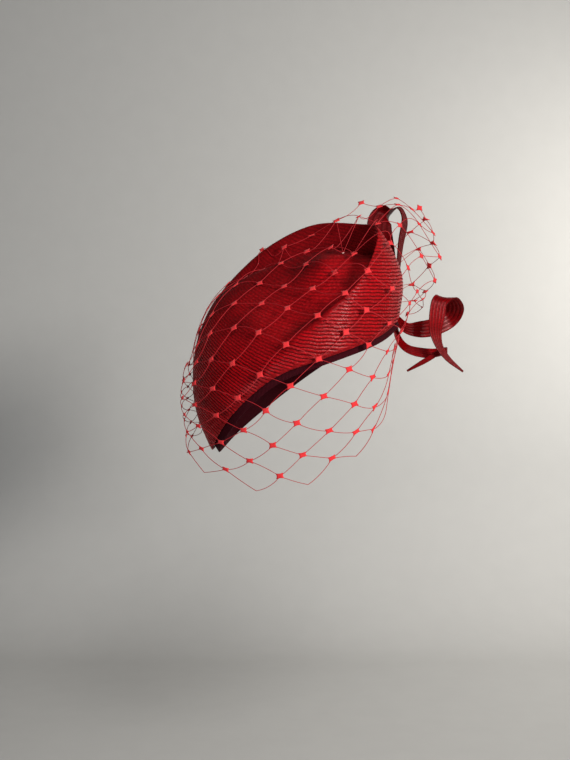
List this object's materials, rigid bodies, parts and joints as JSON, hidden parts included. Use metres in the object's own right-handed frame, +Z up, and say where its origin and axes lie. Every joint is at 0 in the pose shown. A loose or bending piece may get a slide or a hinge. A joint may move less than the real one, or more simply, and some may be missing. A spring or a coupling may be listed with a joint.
{
  "type": "fascinator with veil",
  "caption": "Draped straw fascinator with a folded top, an inner ribbon, a looped straw bow at one side and a coarse dotted net veil that hangs over the face.",
  "frame": {"origin": "middle of the head opening, where the hat sits on the head", "axes": "+Z up as worn on an upright head, -Y the way the wearer faces, +X to the viewer's right, towards the bow"},
  "size_m": [0.238, 0.1949, 0.2441],
  "materials": {
    "straw": "glossy fine-ribbed straw",
    "ribbon": "matt grosgrain",
    "net": "matt knotted net with flocked dots"
  },
  "bodies": {
    "root": {"crown": "straw", "inner_band": "ribbon", "upright_loop": "straw", "curl_strip": "straw", "tail_strip": "straw", "veil": "net"}
  },
  "joints": []
}
